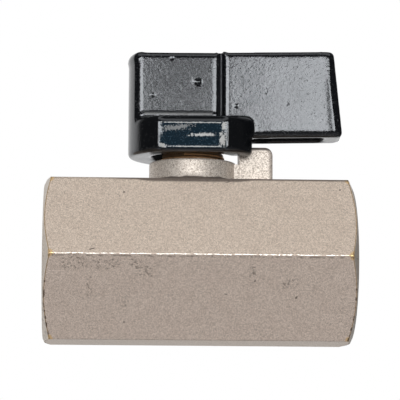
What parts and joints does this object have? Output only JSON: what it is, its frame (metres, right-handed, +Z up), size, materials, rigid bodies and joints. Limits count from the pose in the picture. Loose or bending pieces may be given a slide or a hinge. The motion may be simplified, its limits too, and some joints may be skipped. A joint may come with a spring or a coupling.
{
  "type": "mini ball valve",
  "caption": "Short hexagonal nickel-plated ball valve with a female pipe thread at each end and a black lever that turns the ball a quarter turn to open or shut the flow.",
  "frame": {"origin": "on the underside of the hexagon, below the stem axis", "axes": "+X along the bore towards the retainer end, where the lever points when open, +Z up the stem towards the handle"},
  "size_m": [0.0481, 0.0288, 0.0457],
  "materials": {
    "nickel_plated_brass": "sand-blasted nickel plating",
    "bare_brass": "turned",
    "chromed_ball": "polished",
    "seal_plastic": "waxy",
    "black_lacquer": "thick gloss lacquer",
    "screw_steel": "zinc plated"
  },
  "bodies": {
    "valve_body": {"body": "nickel_plated_brass", "seat_retainer": "bare_brass", "left_seat": "seal_plastic", "right_seat": "seal_plastic", "thrust_washer": "seal_plastic", "lower_packing_ring": "seal_plastic", "upper_packing_ring": "seal_plastic", "gland_nut": "bare_brass"},
    "lever": {"handle": "black_lacquer", "handle_screw": "screw_steel", "lock_washer": "screw_steel", "stem": "bare_brass", "ball": "chromed_ball"}
  },
  "joints": [
    {"name": "lever_turn", "type": "hinge", "parent": "valve_body", "child": "lever", "pos_m": [0, 0, 0.0125], "axis": [0, 0, 1], "range_deg": [-88, 2]}
  ]
}
